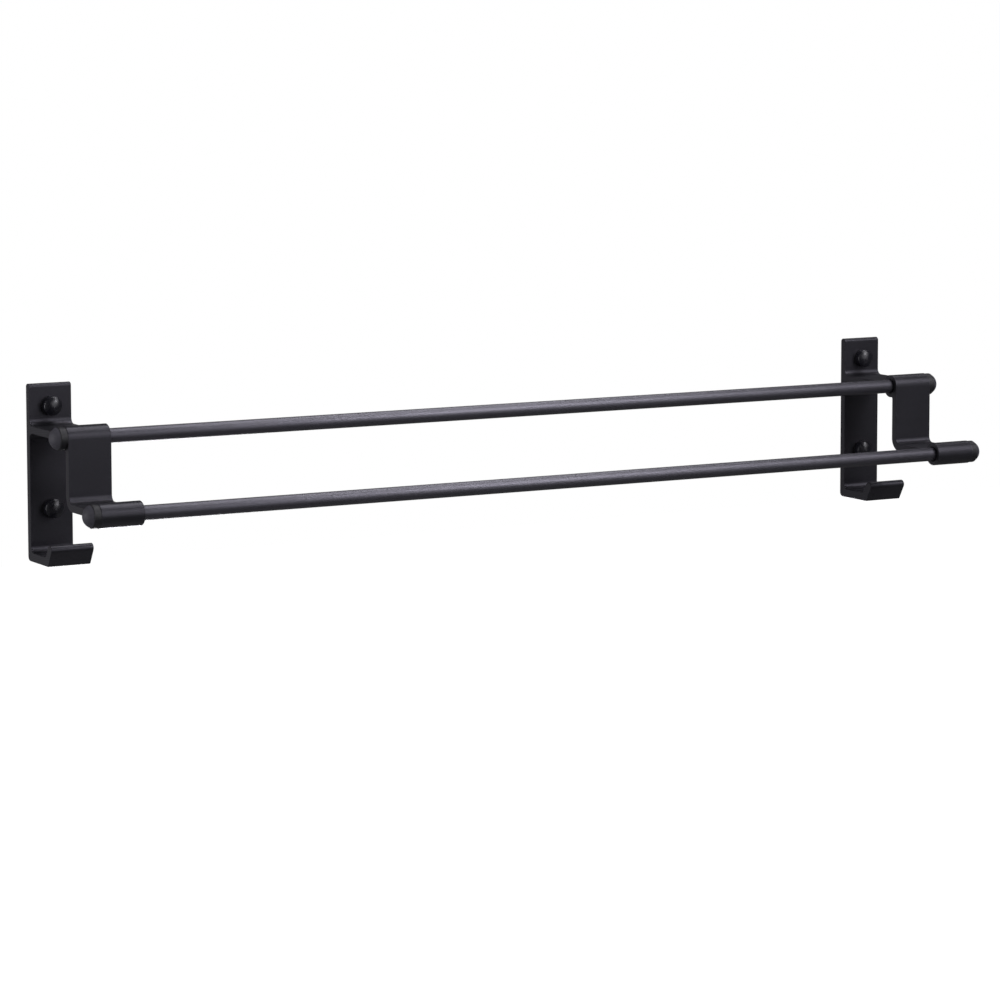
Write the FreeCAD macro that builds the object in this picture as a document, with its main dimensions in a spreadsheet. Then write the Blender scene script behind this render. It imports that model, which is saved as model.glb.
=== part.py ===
import FreeCAD, Part
import os
from enum import IntEnum

import Sketcher
from FreeCAD import Placement, Rotation, Vector

# Double towel rack for a wall, in millimetres.
# X runs along the bars, Y points into the wall, Z is up. The origin is the middle of the
# rectangle of the four wall screws, on the wall plane, so the front of the rack is at -Y.
# Two identical cut lengths of one extruded profile carry two tubes. Each tube is locked by
# a set screw under its boss and closed by a plug at each end. Each wall screw sits in a
# collared washer, and a domed cover slides on to the collar.

SIZES = {
    # Rack and bracket profile
    "rail_span": 587.0,
    "bracket_width": 26.0,
    "wall": 4.5,
    "plate_top_margin": 12.9,
    "plate_edge_radius": 2.0,
    "lower_screw_height": 30.1,
    "upper_screw_rise": 13.1,
    "upper_bar_reach": 54.7,
    "upper_bar_height": 76.0,
    "lower_bar_reach": 100.9,
    "lower_bar_height": 37.75,
    "boss_diameter": 14.0,
    "boss_root_radius": 1.0,
    "bend_radius": 3.6,
    "cut_edge_chamfer": 0.25,
    # Hook under the plate
    "hook_reach": 29.5,
    "hook_floor": 5.2,
    "hook_heel_radius": 2.8,
    "hook_toe_radius": 0.8,
    "hook_throat_radius": 3.2,
    "lip_height": 12.4,
    "lip_thickness": 5.4,
    "lip_lean": 30.0,
    # Bars
    "bar_diameter": 8.4,
    "bar_wall": 1.0,
    "bar_fit": 0.06,
    "bar_inset": 1.0,
    "bore_chamfer": 0.5,
    # End caps
    "cap_diameter": 13.4,
    "cap_rim": 4.2,
    "cap_rim_bevel": 0.4,
    "cap_rim_step": 0.4,
    "cap_dome_height": 4.2,
    "cap_stem": 9.0,
    "cap_fit": 0.05,
    # Set screws
    "set_screw_diameter": 4.0,
    "set_screw_recess": 0.4,
    "set_screw_angle": 45.0,
    "set_screw_fit": 0.04,
    "set_socket_width": 2.0,
    "set_socket_depth": 1.2,
    # Wall screws
    "wall_screw_diameter": 4.0,
    "wall_screw_neck": 3.0,
    "wall_screw_reach": 18.0,
    "wall_screw_tip": 4.0,
    "wall_screw_fit": 0.4,
    "screw_head_diameter": 7.2,
    "screw_head_rim": 1.0,
    "screw_head_height": 2.2,
    "recess_length": 4.0,
    "recess_width": 0.9,
    "recess_depth": 1.4,
    # Collared washers and domed covers
    "washer_thickness": 0.9,
    "collar_clearance": 0.32,
    "collar_wall": 0.6,
    "collar_height": 1.5,
    "cover_fit": 0.08,
    "cover_wall": 0.9,
    "cover_skirt": 3.8,
    "cover_rim_round": 1.0,
    "cover_dome_height": 2.0,
}

# Sizes that follow from others: the arm lies between the two screws of a plate and the plate
# ends above the upper one, a set screw stays below the boss's skin, and a cover goes round
# the collar that goes round the screw's head
FORMULAS = {
    "screw_pitch": "=upper_bar_height + upper_screw_rise - lower_screw_height",
    "plate_height": "=upper_bar_height + upper_screw_rise + plate_top_margin",
    "cap_dome_diameter": "=cap_diameter - 2 * cap_rim_step",
    "set_screw_length": "=(boss_diameter - bar_diameter) / 2 - set_screw_recess",
    "collar_bore": "=screw_head_diameter + 2 * collar_clearance",
    "collar_diameter": "=collar_bore + 2 * collar_wall",
    "cover_bore": "=collar_diameter + 2 * cover_fit",
    "cover_diameter": "=cover_bore + 2 * cover_wall",
}

# Places on the bracket profile, as forward reach from the wall and height from the origin;
# the drop plate is flush with the front of the upper boss
PLATE_BOTTOM = "(-sizes.lower_screw_height - sizes.screw_pitch / 2)"
PLATE_TOP = f"({PLATE_BOTTOM} + sizes.plate_height)"
UPPER_BAR_Z = f"({PLATE_BOTTOM} + sizes.upper_bar_height)"
LOWER_BAR_Z = f"({PLATE_BOTTOM} + sizes.lower_bar_height)"
ARM_BOTTOM = f"({UPPER_BAR_Z} - sizes.wall / 2)"
ARM_TOP = f"({UPPER_BAR_Z} + sizes.wall / 2)"
LEDGE_BOTTOM = f"({LOWER_BAR_Z} - sizes.wall / 2)"
LEDGE_TOP = f"({LOWER_BAR_Z} + sizes.wall / 2)"
DROP_FRONT = "(sizes.upper_bar_reach + sizes.boss_diameter / 2)"
DROP_BACK = f"({DROP_FRONT} - sizes.wall)"
FLOOR_TOP = f"({PLATE_BOTTOM} + sizes.hook_floor)"
BRACKET_OFFSET = "(sizes.rail_span - sizes.bracket_width) / 2"

# The lip leans forward from the toe of the hook and its top is fully round
LIP_LENGTH = (
    "((sizes.lip_height - sizes.lip_thickness / 2 * (1 + sin(sizes.lip_lean))) / cos(sizes.lip_lean)"
    " + sizes.lip_thickness / 2)"
)
LIP_FRONT_REACH = f"(sizes.hook_reach + {LIP_LENGTH} * sin(sizes.lip_lean))"
LIP_FRONT_Z = f"({PLATE_BOTTOM} + {LIP_LENGTH} * cos(sizes.lip_lean))"
LIP_BACK_REACH = f"({LIP_FRONT_REACH} - sizes.lip_thickness * cos(sizes.lip_lean))"
LIP_BACK_Z = f"({LIP_FRONT_Z} + sizes.lip_thickness * sin(sizes.lip_lean))"
LIP_ROOT_REACH = (
    f"({LIP_BACK_REACH} - ({LIP_BACK_Z} - {FLOOR_TOP}) * tan(sizes.lip_lean))"
)
LIP_ROUND_SHARE = 0.98

# Radii of the fits between pieces
BAR_RADIUS = "sizes.bar_diameter / 2"
BORE_RADIUS = f"({BAR_RADIUS} + sizes.bar_fit)"
BAR_LENGTH = "(sizes.rail_span - 2 * sizes.bar_inset)"
STEM_RADIUS = f"({BAR_RADIUS} - sizes.bar_wall - sizes.cap_fit)"
SCREW_HOLE_RADIUS = "(sizes.wall_screw_diameter / 2 + sizes.wall_screw_fit)"
TAPPED_HOLE_RADIUS = "(sizes.set_screw_diameter / 2 + sizes.set_screw_fit)"
COVER_BORE_RADIUS = "sizes.cover_bore / 2"
COLLAR_RADIUS = "sizes.collar_diameter / 2"
WASHER_FRONT = "(sizes.wall + sizes.washer_thickness)"

BARS = {
    "upper": ("sizes.upper_bar_reach", UPPER_BAR_Z),
    "lower": ("sizes.lower_bar_reach", LOWER_BAR_Z),
}
SIDES = {"left": -1, "right": 1}
SCREW_ROWS = {"upper": 1, "lower": -1}

# The hexagon socket's corners, in degrees, clear of the sketch axes
SOCKET_STEP = 60
SOCKET_START = 15

FULL_TURN = 360
HALF_TURN = 180
QUARTER_TURN = 90
X_AXIS = Vector(1, 0, 0)
Y_AXIS = Vector(0, 1, 0)
Z_AXIS = Vector(0, 0, 1)
SPOT_TOLERANCE = 1e-4

# A set screw's turn from straight up, towards the wall
SET_SCREW_TURN = f"{HALF_TURN} - sizes.set_screw_angle"

doc = FreeCAD.newDocument("double_towel_rack")
sheet = doc.addObject("Spreadsheet::Sheet", "sizes")


class Axis(IntEnum):
    """The sketcher's numbers for a sketch's own axes."""

    HORIZONTAL = -1
    VERTICAL = -2


class Point(IntEnum):
    """The sketcher's numbers for the points of an edge; an axis starts at the origin."""

    START = 1
    END = 2
    CENTRE = 3


def fill_sheet():
    """Write every driving size, and every size that follows from others, to its own named cell."""
    for row, (alias, size) in enumerate({**SIZES, **FORMULAS}.items(), start=1):
        cell = f"A{row}"
        sheet.set(cell, str(size))
        sheet.setAlias(cell, alias)
    doc.recompute()


def value(expression):
    """Return the number that an expression over the sheet gives."""
    return float(sheet.evalExpression(str(expression)))


def bind(thing, **expressions):
    """Tie properties of an object to expressions over the sheet."""
    for name, expression in expressions.items():
        thing.setExpression(name, expression)


def place(thing, rotation, x="0", y="0", z="0", angle=None):
    """Set the turn of a piece and tie its position, and its angle if one is given, to the sheet."""
    thing.Placement = Placement(Vector(), rotation)
    for axis, expression in zip("xyz", (x, y, z)):
        thing.setExpression(f"Placement.Base.{axis}", expression)
    if angle is not None:
        thing.setExpression("Placement.Rotation.Angle", angle)


def new_body(label):
    """Start a piece whose label names its file."""
    body = doc.addObject("PartDesign::Body", label)
    body.Label = label
    return body


def new_sketch(body, name, role, lift=None):
    """Attach an empty sketch to a plane of the body, lifted along the plane's normal."""
    sketch = body.newObject("Sketcher::SketchObject", name)
    plane = next(item for item in body.Origin.OriginFeatures if item.Role == role)
    sketch.AttachmentSupport = [(plane, "")]
    sketch.MapMode = "FlatFace"
    if lift is not None:
        sketch.setExpression("AttachmentOffset.Base.z", lift)
    return sketch


def pin_point(sketch, geometry, point, across, up):
    """Hold one sketch point at two expressions, on an axis where one of them is zero."""
    for kind, axis, expression in (
        ("DistanceX", Axis.VERTICAL, across),
        ("DistanceY", Axis.HORIZONTAL, up),
    ):
        if expression == "0":
            sketch.addConstraint(Sketcher.Constraint("PointOnObject", geometry, point, axis))
            continue
        number = sketch.addConstraint(
            Sketcher.Constraint(kind, Axis.HORIZONTAL, Point.START, geometry, point, value(expression))
        )
        sketch.setExpression(f"Constraints[{number}]", expression)


def arc_about_vertical_axis(start, end):
    """Return the short arc, run anticlockwise, between two points and about the vertical axis."""
    height = (end.x**2 + end.y**2 - start.x**2 - start.y**2) / (2 * (end.y - start.y))
    centre = Vector(0, height, 0)
    radius = (start - centre).Length
    middle = centre + ((start + end) / 2 - centre).normalize() * radius
    anticlockwise = (start - centre).cross(end - centre).z > 0
    return Part.Arc(start, middle, end) if anticlockwise else Part.Arc(end, middle, start)


def draw_outline(body, name, role, corners, lift=None):
    """Draw a closed outline through corners given as expression pairs.

    A third item "arc" on a corner makes the edge that leaves it an arc about the vertical axis.
    """
    sketch = new_sketch(body, name, role, lift)
    points = [Vector(value(corner[0]), value(corner[1]), 0) for corner in corners]
    count = len(corners)
    for index, corner in enumerate(corners):
        start = points[index]
        end = points[(index + 1) % count]
        rounded = corner[2:] == ("arc",)
        edge = arc_about_vertical_axis(start, end) if rounded else Part.LineSegment(start, end)
        sketch.addGeometry(edge)
    ends = [edge_ends(sketch.Geometry[index], points[index]) for index in range(count)]
    for index, corner in enumerate(corners):
        following = (index + 1) % count
        sketch.addConstraint(
            Sketcher.Constraint("Coincident", index, ends[index][1], following, ends[following][0])
        )
        pin_point(sketch, index, ends[index][0], corner[0], corner[1])
        if corner[2:] == ("arc",):
            sketch.addConstraint(Sketcher.Constraint("PointOnObject", index, Point.CENTRE, Axis.VERTICAL))
    return sketch


def edge_ends(edge, start):
    """Return the sketch's point numbers of an edge's first and last corner."""
    forward = (edge.StartPoint - start).Length < SPOT_TOLERANCE
    return (Point.START, Point.END) if forward else (Point.END, Point.START)


def draw_circles(body, name, role, circles, lift=None):
    """Draw circles given as expressions for centre across, centre up and radius."""
    sketch = new_sketch(body, name, role, lift)
    for across, up, radius in circles:
        spot = Vector(value(across), value(up), 0)
        number = sketch.addGeometry(Part.Circle(spot, Z_AXIS, value(radius)))
        pin_point(sketch, number, Point.CENTRE, across, up)
        size = sketch.addConstraint(Sketcher.Constraint("Radius", number, value(radius)))
        sketch.setExpression(f"Constraints[{size}]", radius)
    return sketch


def pad(body, name, sketch, length, midplane=False):
    """Raise a sketch by a length, to one side or evenly to both."""
    feature = body.newObject("PartDesign::Pad", name)
    feature.Profile = sketch
    feature.Midplane = midplane
    bind(feature, Length=length)
    doc.recompute()
    return feature


def pocket(body, name, sketch, length, midplane=False):
    """Cut a sketch into the body and make sure that it took metal away."""
    before = body.Shape.Volume
    feature = body.newObject("PartDesign::Pocket", name)
    feature.Profile = sketch
    feature.Midplane = midplane
    bind(feature, Length=length)
    doc.recompute()
    check_cut(feature, before)
    return feature


def check_cut(feature, before):
    """Stop if a cut left the volume as it was."""
    if feature.Shape.Volume >= before:
        raise RuntimeError(f"{feature.Name} cut nothing")


def turn(body, name, sketch):
    """Turn a half outline about its vertical axis."""
    feature = body.newObject("PartDesign::Revolution", name)
    feature.Profile = sketch
    feature.ReferenceAxis = (sketch, ["V_Axis"])
    feature.Angle = FULL_TURN
    doc.recompute()
    return feature


def long_edges(feature, spots):
    """Name the edges along X that pass through the given reach and height pairs."""
    names = []
    for reach, height in spots:
        spot = Vector(0, value(reach), value(height))
        for number, edge in enumerate(feature.Shape.Edges, start=1):
            first = edge.Vertexes[0].Point
            across = edge.Vertexes[-1].Point - first
            along_x = across.Length > SPOT_TOLERANCE and abs(across.x) > across.Length - SPOT_TOLERANCE
            first.x = 0
            if along_x and (first - spot).Length < SPOT_TOLERANCE:
                names.append(f"Edge{number}")
    if len(names) != len(spots):
        raise RuntimeError(f"{feature.Name} has {len(names)} of {len(spots)} edges to round")
    return names


def ring_edges(feature, radius, level=None):
    """Name the full circles of one radius, at every level or at one level up the Z axis."""
    wanted = value(radius)
    return [
        f"Edge{number}"
        for number, edge in enumerate(feature.Shape.Edges, start=1)
        if not edge.Degenerated
        and isinstance(edge.Curve, Part.Circle)
        and edge.isClosed()
        and abs(edge.Curve.Radius - wanted) < SPOT_TOLERANCE
        and (level is None or abs(edge.Curve.Center.z - value(level)) < SPOT_TOLERANCE)
    ]


def round_edges(body, name, base, names, radius):
    """Fillet named edges of a feature."""
    feature = body.newObject("PartDesign::Fillet", name)
    feature.Base = (base, names)
    bind(feature, Radius=radius)
    doc.recompute()
    return feature


def bevel_edges(body, name, base, names, size):
    """Chamfer named edges, or all edges of named faces, of a feature."""
    feature = body.newObject("PartDesign::Chamfer", name)
    feature.Base = (base, names)
    bind(feature, Size=size)
    doc.recompute()
    return feature


def bracket_outline():
    """Return the corners of the extruded profile without its two bosses."""
    return [
        ("0", PLATE_BOTTOM),
        ("sizes.hook_reach", PLATE_BOTTOM),
        (LIP_FRONT_REACH, LIP_FRONT_Z),
        (LIP_BACK_REACH, LIP_BACK_Z),
        (LIP_ROOT_REACH, FLOOR_TOP),
        ("sizes.wall", FLOOR_TOP),
        ("sizes.wall", ARM_BOTTOM),
        (DROP_BACK, ARM_BOTTOM),
        (DROP_BACK, LEDGE_BOTTOM),
        ("sizes.lower_bar_reach", LEDGE_BOTTOM),
        ("sizes.lower_bar_reach", LEDGE_TOP),
        (DROP_FRONT, LEDGE_TOP),
        (DROP_FRONT, UPPER_BAR_Z),
        ("sizes.upper_bar_reach", ARM_TOP),
        ("sizes.wall", ARM_TOP),
        ("sizes.wall", PLATE_TOP),
        ("0", PLATE_TOP),
    ]


def chord(offset):
    """Return half the chord of a boss at an offset from its axis."""
    return f"sqrt((sizes.boss_diameter / 2)^2 - ({offset})^2)"


def boss_roots():
    """Return where the arm, the drop plate and the ledge run into the bosses."""
    half_wall_chord = chord("sizes.wall / 2")
    roots = [
        (f"{reach} - {half_wall_chord}", f"{height} {sign} sizes.wall / 2")
        for reach, height in BARS.values()
        for sign in "+-"
    ]
    back_chord = chord(f"{DROP_BACK} - sizes.upper_bar_reach")
    roots.append((DROP_BACK, f"{UPPER_BAR_Z} - {back_chord}"))
    return roots


def round_bracket(body, profile):
    """Round the extruded profile's corners, each kind with its own radius."""
    lip_top = [(LIP_FRONT_REACH, LIP_FRONT_Z), (LIP_BACK_REACH, LIP_BACK_Z)]
    inner_bends = [
        ("sizes.wall", ARM_BOTTOM),
        ("sizes.wall", ARM_TOP),
        (DROP_FRONT, LEDGE_TOP),
        ("sizes.wall", FLOOR_TOP),
    ]
    kinds = {
        "boss_roots": (boss_roots(), "sizes.boss_root_radius"),
        "inner_bends": (inner_bends, "sizes.bend_radius"),
        "outer_bend": ([(DROP_BACK, LEDGE_BOTTOM)], "sizes.bend_radius + sizes.wall"),
        "plate_edges": ([("sizes.wall", PLATE_TOP), ("0", PLATE_TOP)], "sizes.plate_edge_radius"),
        "hook_heel": ([("0", PLATE_BOTTOM)], "sizes.hook_heel_radius"),
        "hook_toe": ([("sizes.hook_reach", PLATE_BOTTOM)], "sizes.hook_toe_radius"),
        "hook_throat": ([(LIP_ROOT_REACH, FLOOR_TOP)], "sizes.hook_throat_radius"),
        "lip_top": (lip_top, f"sizes.lip_thickness / 2 * {LIP_ROUND_SHARE}"),
    }
    feature = profile
    for name, (spots, radius) in kinds.items():
        feature = round_edges(body, name, feature, long_edges(feature, spots), radius)
    return feature


def end_faces(feature):
    """Name the two sawn ends of the extrusion."""
    half_width = value("sizes.bracket_width / 2")
    return [
        f"Face{number}"
        for number, face in enumerate(feature.Shape.Faces, start=1)
        if abs(abs(face.CenterOfMass.x) - half_width) < SPOT_TOLERANCE
    ]


def make_bracket(side):
    """Build one cut length of the profile with its bores, screw holes and tapped holes."""
    body = new_body(f"{side}_bracket")
    outline = draw_outline(body, "profile", "YZ_Plane", bracket_outline())
    pad(body, "extrusion", outline, "sizes.bracket_width", midplane=True)
    boss_circles = [(reach, height, "sizes.boss_diameter / 2") for reach, height in BARS.values()]
    bosses = draw_circles(body, "boss_circles", "YZ_Plane", boss_circles)
    profile = pad(body, "bosses", bosses, "sizes.bracket_width", midplane=True)
    rounded = round_bracket(body, profile)
    bevel_edges(body, "sawn_edges", rounded, end_faces(rounded), "sizes.cut_edge_chamfer")

    bore_circles = [(reach, height, BORE_RADIUS) for reach, height in BARS.values()]
    bores = draw_circles(body, "bore_circles", "YZ_Plane", bore_circles)
    bored = pocket(body, "bores", bores, "2 * sizes.bracket_width", midplane=True)
    bevel_edges(body, "bore_mouths", bored, ring_edges(bored, BORE_RADIUS), "sizes.bore_chamfer")

    hole_circles = [("0", f"{sign} sizes.screw_pitch / 2", SCREW_HOLE_RADIUS) for sign in "+-"]
    holes = draw_circles(body, "hole_circles", "XZ_Plane", hole_circles)
    pocket(body, "screw_holes", holes, "3 * sizes.wall", midplane=True)

    for row, (reach, height) in BARS.items():
        before = body.Shape.Volume
        hole = body.newObject("PartDesign::SubtractiveCylinder", f"{row}_tapped_hole")
        bind(hole, Radius=TAPPED_HOLE_RADIUS, Height="sizes.boss_diameter")
        place(hole, Rotation(X_AXIS, QUARTER_TURN), y=reach, z=height, angle=SET_SCREW_TURN)
        doc.recompute()
        check_cut(hole, before)

    place(body, Rotation(Z_AXIS, HALF_TURN), x=f"{SIDES[side]} * {BRACKET_OFFSET}")
    return body


def make_bar(row):
    """Build one tube, a little shorter than the rack between its outer ends."""
    reach, height = BARS[row]
    body = new_body(f"{row}_bar")
    rings = [("0", "0", BAR_RADIUS), ("0", "0", f"{BAR_RADIUS} - sizes.bar_wall")]
    section = draw_circles(body, "tube_section", "YZ_Plane", rings)
    pad(body, "tube", section, BAR_LENGTH, midplane=True)
    place(body, Rotation(), y=f"-{reach}", z=height)
    return body


def make_end_cap(side, row):
    """Build one plug: a stem in the tube, a bevelled rim against the boss and a dome on the rim."""
    reach, height = BARS[row]
    body = new_body(f"{side}_{row}_end_cap")
    rim_radius = "sizes.cap_diameter / 2"
    corners = [
        ("0", "-sizes.cap_stem"),
        (STEM_RADIUS, "-sizes.cap_stem"),
        (STEM_RADIUS, "0"),
        (rim_radius, "0"),
        (rim_radius, "sizes.cap_rim - sizes.cap_rim_bevel"),
        ("sizes.cap_dome_diameter / 2", "sizes.cap_rim", "arc"),
        ("0", "sizes.cap_rim + sizes.cap_dome_height"),
    ]
    turn(body, "plug", draw_outline(body, "half_plug", "XZ_Plane", corners))
    sign = SIDES[side]
    place(
        body,
        Rotation(Y_AXIS, sign * QUARTER_TURN),
        x=f"{sign} * sizes.rail_span / 2",
        y=f"-{reach}",
        z=height,
    )
    return body


def make_set_screw(side, row):
    """Build one grub screw that presses on the tube from the wall side, below the axis."""
    reach, height = BARS[row]
    body = new_body(f"{side}_{row}_set_screw")
    rod = draw_circles(body, "rod_circle", "XY_Plane", [("0", "0", "sizes.set_screw_diameter / 2")])
    pad(body, "rod", rod, "sizes.set_screw_length")
    corner_radius = f"sizes.set_socket_width / 2 / cos({SOCKET_STEP / 2})"
    angles = [SOCKET_START + index * SOCKET_STEP for index in range(FULL_TURN // SOCKET_STEP)]
    corners = [(f"{corner_radius} * cos({angle})", f"{corner_radius} * sin({angle})") for angle in angles]
    socket = draw_outline(body, "socket_outline", "XY_Plane", corners, lift="sizes.set_screw_length")
    pocket(body, "socket", socket, "sizes.set_socket_depth")
    place(
        body,
        Rotation(-X_AXIS, QUARTER_TURN),
        x=f"{SIDES[side]} * {BRACKET_OFFSET}",
        y=f"-{reach} + {BAR_RADIUS} * sin(sizes.set_screw_angle)",
        z=f"{height} - {BAR_RADIUS} * cos(sizes.set_screw_angle)",
        angle=SET_SCREW_TURN,
    )
    return body


def place_on_wall(body, side, row):
    """Put a piece that is turned about a wall screw's axis at its screw hole."""
    place(
        body,
        Rotation(X_AXIS, QUARTER_TURN),
        x=f"{SIDES[side]} * {BRACKET_OFFSET}",
        z=f"{SCREW_ROWS[row]} * sizes.screw_pitch / 2",
    )


def make_wall_screw(side, row):
    """Build one wall screw: point and shank in the wall, thinner neck, pan head and cross recess."""
    body = new_body(f"{side}_{row}_wall_screw")
    shank_radius = "sizes.wall_screw_diameter / 2"
    neck_radius = "sizes.wall_screw_neck / 2"
    head_radius = "sizes.screw_head_diameter / 2"
    head_top = f"{WASHER_FRONT} + sizes.screw_head_height"
    corners = [
        ("0", "-sizes.wall_screw_reach"),
        (shank_radius, "-sizes.wall_screw_reach + sizes.wall_screw_tip"),
        (shank_radius, "0"),
        (neck_radius, "0"),
        (neck_radius, WASHER_FRONT),
        (head_radius, WASHER_FRONT),
        (head_radius, f"{WASHER_FRONT} + sizes.screw_head_rim", "arc"),
        ("0", head_top),
    ]
    turn(body, "screw", draw_outline(body, "half_screw", "XZ_Plane", corners))
    long_half = "sizes.recess_length / 2"
    short_half = "sizes.recess_width / 2"
    quarter = [(long_half, short_half), (short_half, short_half), (short_half, long_half)]
    cross = [(f"{across}", f"{up}") for across, up in quarter]
    cross += [(f"-{across}", f"{up}") for across, up in reversed(quarter)]
    cross += [(f"-{across}", f"-{up}") for across, up in quarter]
    cross += [(f"{across}", f"-{up}") for across, up in reversed(quarter)]
    recess = draw_outline(body, "recess_outline", "XY_Plane", cross, lift=head_top)
    pocket(body, "recess", recess, "sizes.recess_depth")
    place_on_wall(body, side, row)
    return body


def make_cover_washer(side, row):
    """Build one washer with the collar that holds a cover."""
    body = new_body(f"{side}_{row}_cover_washer")
    collar_inside = "sizes.collar_bore / 2"
    collar_top = f"{WASHER_FRONT} + sizes.collar_height"
    corners = [
        (SCREW_HOLE_RADIUS, "sizes.wall"),
        ("sizes.cover_diameter / 2", "sizes.wall"),
        ("sizes.cover_diameter / 2", WASHER_FRONT),
        (COLLAR_RADIUS, WASHER_FRONT),
        (COLLAR_RADIUS, collar_top),
        (collar_inside, collar_top),
        (collar_inside, WASHER_FRONT),
        (SCREW_HOLE_RADIUS, WASHER_FRONT),
    ]
    turn(body, "washer", draw_outline(body, "half_washer", "XZ_Plane", corners))
    place_on_wall(body, side, row)
    return body


def make_screw_cover(side, row):
    """Build one hollow low dome on a skirt that fits the washer's collar, with a round rim."""
    body = new_body(f"{side}_{row}_screw_cover")
    outer_radius = "sizes.cover_diameter / 2"
    skirt_top = f"{WASHER_FRONT} + sizes.cover_skirt"
    dome_top = f"{skirt_top} + sizes.cover_dome_height"
    corners = [
        (COVER_BORE_RADIUS, WASHER_FRONT),
        (outer_radius, WASHER_FRONT),
        (outer_radius, skirt_top, "arc"),
        ("0", dome_top),
        ("0", f"{dome_top} - sizes.cover_wall", "arc"),
        (COVER_BORE_RADIUS, skirt_top),
    ]
    dome = turn(body, "dome", draw_outline(body, "half_dome", "XZ_Plane", corners))
    rim = ring_edges(dome, outer_radius, skirt_top)
    round_edges(body, "round_rim", dome, rim, "sizes.cover_rim_round")
    place_on_wall(body, side, row)
    return body


def check_document(pieces):
    """Stop on any failed object and on any piece that is not one valid solid."""
    for thing in doc.Objects:
        if any(state in ("Invalid", "Error") for state in thing.State):
            raise RuntimeError(f"{thing.Name} failed: {thing.State}")
    for piece in pieces:
        shape = piece.Shape
        if shape.isNull() or not shape.isValid() or len(shape.Solids) != 1:
            raise RuntimeError(f"{piece.Label} is not one valid solid")


def write_pieces(pieces):
    """Write each piece to a file that its label names."""
    os.makedirs("parts", exist_ok=True)
    for piece in pieces:
        piece.Shape.exportStep(f"parts/{piece.Label}.step")
        print(f"{piece.Label}: {piece.Shape.Volume:.1f} mm3")


fill_sheet()
pieces = [make_bracket(side) for side in SIDES]
pieces += [make_bar(row) for row in BARS]
for make_bar_fitting in (make_end_cap, make_set_screw):
    pieces += [make_bar_fitting(side, row) for side in SIDES for row in BARS]
for make_wall_fitting in (make_wall_screw, make_cover_washer, make_screw_cover):
    pieces += [make_wall_fitting(side, row) for side in SIDES for row in SCREW_ROWS]
doc.recompute()
check_document(pieces)
write_pieces(pieces)
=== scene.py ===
"""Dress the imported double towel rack: its finishes, its threaded wall screws and a plain studio."""

import logging
import math
from abc import ABC, abstractmethod
from collections.abc import Iterator, Mapping
from dataclasses import dataclass
from enum import Enum
from typing import Any

import bmesh
import bpy
from mathutils import Euler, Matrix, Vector


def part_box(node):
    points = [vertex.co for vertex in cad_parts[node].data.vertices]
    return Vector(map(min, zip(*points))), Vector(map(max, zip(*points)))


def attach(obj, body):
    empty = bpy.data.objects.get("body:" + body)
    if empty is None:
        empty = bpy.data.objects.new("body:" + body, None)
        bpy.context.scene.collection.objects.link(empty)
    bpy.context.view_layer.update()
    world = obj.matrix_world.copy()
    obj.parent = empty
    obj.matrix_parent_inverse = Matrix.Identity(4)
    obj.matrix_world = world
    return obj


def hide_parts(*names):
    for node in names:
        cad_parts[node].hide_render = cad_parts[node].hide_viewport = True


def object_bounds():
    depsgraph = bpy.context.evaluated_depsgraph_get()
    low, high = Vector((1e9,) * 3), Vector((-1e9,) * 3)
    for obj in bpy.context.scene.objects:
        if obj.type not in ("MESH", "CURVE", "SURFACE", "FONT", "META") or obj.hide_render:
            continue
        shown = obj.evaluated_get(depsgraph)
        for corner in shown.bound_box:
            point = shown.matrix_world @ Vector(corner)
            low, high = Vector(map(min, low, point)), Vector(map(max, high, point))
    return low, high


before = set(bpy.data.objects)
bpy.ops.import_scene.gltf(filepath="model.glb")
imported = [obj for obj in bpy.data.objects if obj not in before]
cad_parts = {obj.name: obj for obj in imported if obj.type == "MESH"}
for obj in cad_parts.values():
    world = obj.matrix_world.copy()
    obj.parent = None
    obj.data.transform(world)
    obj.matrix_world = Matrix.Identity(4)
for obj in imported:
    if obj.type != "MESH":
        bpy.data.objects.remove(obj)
CAD_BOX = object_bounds()

LOG = logging.getLogger("double_towel_rack")
MM = 0.001
MAIN_BODY = "rack"

# Sizes of the part that a finish has to follow, in millimetres
RAIL_SPAN_MM = 587.0
CAP_RIM_MM = 4.2

# The sRGB curve: straight below the knee, a power above it
SRGB_KNEE = 0.04045
SRGB_SLOPE = 12.92
SRGB_OFFSET = 0.055
SRGB_POWER = 2.4

# Most of a noise pattern lies between these values
NOISE_LIMITS = (0.3, 0.7)
# How many finer levels a noise pattern has
FINE_DETAIL = 2.0
CLOUD_DETAIL = 3.0
FILM_DETAIL = 4.0


class Side(Enum):
    """The two ends of the rack, as the viewer sees them."""

    LEFT = "left"
    RIGHT = "right"


class Row(Enum):
    """The two levels of bars, and of screws on a plate."""

    UPPER = "upper"
    LOWER = "lower"


def linear(hex_colour: str) -> tuple[float, float, float, float]:
    """Turn an sRGB hex colour to linear light.

    Args:
        hex_colour: A colour such as "#1f2022".

    Returns:
        Red, green, blue and a full alpha.
    """
    channels = [int(hex_colour[start : start + 2], 16) / 255 for start in (1, 3, 5)]
    red, green, blue = (
        channel / SRGB_SLOPE
        if channel <= SRGB_KNEE
        else ((channel + SRGB_OFFSET) / (1 + SRGB_OFFSET)) ** SRGB_POWER
        for channel in channels
    )
    return red, green, blue, 1.0


def per_metre(size_mm: float) -> float:
    """Return how often a pattern of one size in millimetres repeats in a metre."""
    return 1.0 / (size_mm * MM)


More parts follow.
